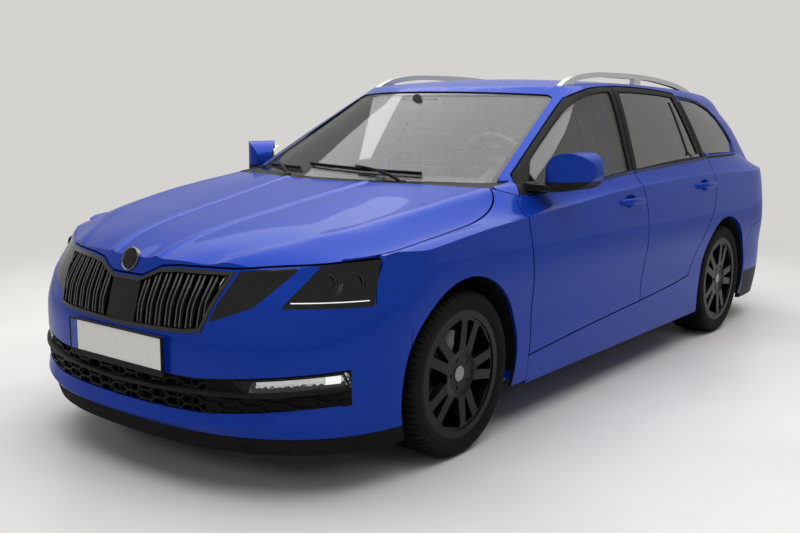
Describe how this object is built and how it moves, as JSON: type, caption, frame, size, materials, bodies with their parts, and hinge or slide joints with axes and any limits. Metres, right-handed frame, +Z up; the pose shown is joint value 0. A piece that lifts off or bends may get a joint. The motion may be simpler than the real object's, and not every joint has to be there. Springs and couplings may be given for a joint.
{
  "type": "station wagon",
  "caption": "Station wagon with opening doors, bonnet and tailgate, steered front wheels and a hollow, fitted cabin.",
  "frame": {"origin": "on the ground, midway between the bumpers, on the centre plane", "axes": "+Z up, the front of the car faces -Y, its left side is +X"},
  "size_m": [2.0222, 4.6685, 1.4887],
  "materials": {
    "body_paint": "gloss blue metallic paint",
    "underbody": "matt dark coating",
    "black_gloss": "gloss",
    "black_plastic": "grained",
    "satin_metal": "satin",
    "black_alloy": "gloss black",
    "glass": "clear, faint green",
    "dark_glass": "dark tint",
    "lamp_glass": "clear",
    "red_lens": "red",
    "cabin_plastic": "soft grain",
    "seat_fabric": "woven",
    "tyre": "matt",
    "cast_metal": "as cast",
    "chassis_steel": "satin black",
    "exhaust_steel": "dull"
  },
  "bodies": {
    "body_shell": {"floor_pan": "underbody", "side_frame_left": "body_paint", "side_frame_right": "body_paint", "roof_panel": "body_paint", "front_wings": "body_paint", "front_bumper": "body_paint", "rear_bumper": "body_paint", "grilles": "black_gloss", "front_lamps": "lamp_glass", "tail_lamps": "red_lens", "windscreen": "glass", "cowl": "black_plastic", "roof_rails": "satin_metal", "quarter_windows": "dark_glass", "dashboard": "cabin_plastic", "seats": "seat_fabric", "engine": "cast_metal", "front_subframe": "chassis_steel", "rear_axle": "chassis_steel", "exhaust": "exhaust_steel"},
    "bonnet": {"bonnet": "body_paint"},
    "tailgate": {"tailgate": "body_paint", "tailgate_glass": "dark_glass", "tailgate_lamps": "red_lens"},
    "steering_wheel": {"steering_wheel": "cabin_plastic"},
    "front_door_left": {"front_door_left": "body_paint", "front_door_glass_left": "glass", "mirror_left": "body_paint"},
    "rear_door_left": {"rear_door_left": "body_paint", "rear_door_glass_left": "dark_glass"},
    "knuckle_left": {"knuckle_left": "chassis_steel"},
    "front_wheel_left": {"wheel_front_left": "black_alloy", "tyre_front_left": "tyre"},
    "rear_wheel_left": {"wheel_rear_left": "black_alloy", "tyre_rear_left": "tyre"},
    "front_door_right": {"front_door_right": "body_paint", "front_door_glass_right": "glass", "mirror_right": "body_paint"},
    "rear_door_right": {"rear_door_right": "body_paint", "rear_door_glass_right": "dark_glass"},
    "knuckle_right": {"knuckle_right": "chassis_steel"},
    "front_wheel_right": {"wheel_front_right": "black_alloy", "tyre_front_right": "tyre"},
    "rear_wheel_right": {"wheel_rear_right": "black_alloy", "tyre_rear_right": "tyre"}
  },
  "joints": [
    {"name": "bonnet_hinge", "type": "hinge", "parent": "body_shell", "child": "bonnet", "pos_m": [0, -1.035, 0.992], "axis": [-1, 0, 0], "range_deg": [0, 55]},
    {"name": "tailgate_hinge", "type": "hinge", "parent": "body_shell", "child": "tailgate", "pos_m": [0, 1.833, 1.378], "axis": [1, 0, 0], "range_deg": [0, 85]},
    {"name": "steering_wheel_turn", "type": "hinge", "parent": "body_shell", "child": "steering_wheel", "pos_m": [0.37, -0.42, 1.01], "axis": [0, 0.9063, 0.4226], "range_deg": [-510, 510]},
    {"name": "front_door_left_hinge", "type": "hinge", "parent": "body_shell", "child": "front_door_left", "pos_m": [0.905, -0.976, 0.65], "axis": [0, 0, -1], "range_deg": [0, 65]},
    {"name": "rear_door_left_hinge", "type": "hinge", "parent": "body_shell", "child": "rear_door_left", "pos_m": [0.905, 0.12, 0.65], "axis": [0, 0, -1], "range_deg": [0, 65]},
    {"name": "steering_left", "type": "hinge", "parent": "body_shell", "child": "knuckle_left", "pos_m": [0.72, -1.4455, 0.19], "axis": [-0.2161, 0, 0.9764], "range_deg": [-35, 35]},
    {"name": "front_wheel_left_spin", "type": "hinge", "parent": "knuckle_left", "child": "front_wheel_left", "pos_m": [0.772, -1.4455, 0.3185], "axis": [1, 0, 0], "continuous": true},
    {"name": "rear_wheel_left_spin", "type": "hinge", "parent": "body_shell", "child": "rear_wheel_left", "pos_m": [0.772, 1.2405, 0.3185], "axis": [1, 0, 0], "continuous": true},
    {"name": "front_door_right_hinge", "type": "hinge", "parent": "body_shell", "child": "front_door_right", "pos_m": [-0.905, -0.976, 0.65], "axis": [0, 0, 1], "range_deg": [0, 65]},
    {"name": "rear_door_right_hinge", "type": "hinge", "parent": "body_shell", "child": "rear_door_right", "pos_m": [-0.905, 0.12, 0.65], "axis": [0, 0, 1], "range_deg": [0, 65]},
    {"name": "steering_right", "type": "hinge", "parent": "body_shell", "child": "knuckle_right", "pos_m": [-0.72, -1.4455, 0.19], "axis": [0.2161, 0, 0.9764], "range_deg": [-35, 35]},
    {"name": "front_wheel_right_spin", "type": "hinge", "parent": "knuckle_right", "child": "front_wheel_right", "pos_m": [-0.772, -1.4455, 0.3185], "axis": [1, 0, 0], "continuous": true},
    {"name": "rear_wheel_right_spin", "type": "hinge", "parent": "body_shell", "child": "rear_wheel_right", "pos_m": [-0.772, 1.2405, 0.3185], "axis": [1, 0, 0], "continuous": true}
  ],
  "couplings": [
    {"joint": "steering_right", "follows": "steering_left", "ratio": 1},
    {"joint": "steering_wheel_turn", "follows": "steering_left", "ratio": 14.5}
  ]
}
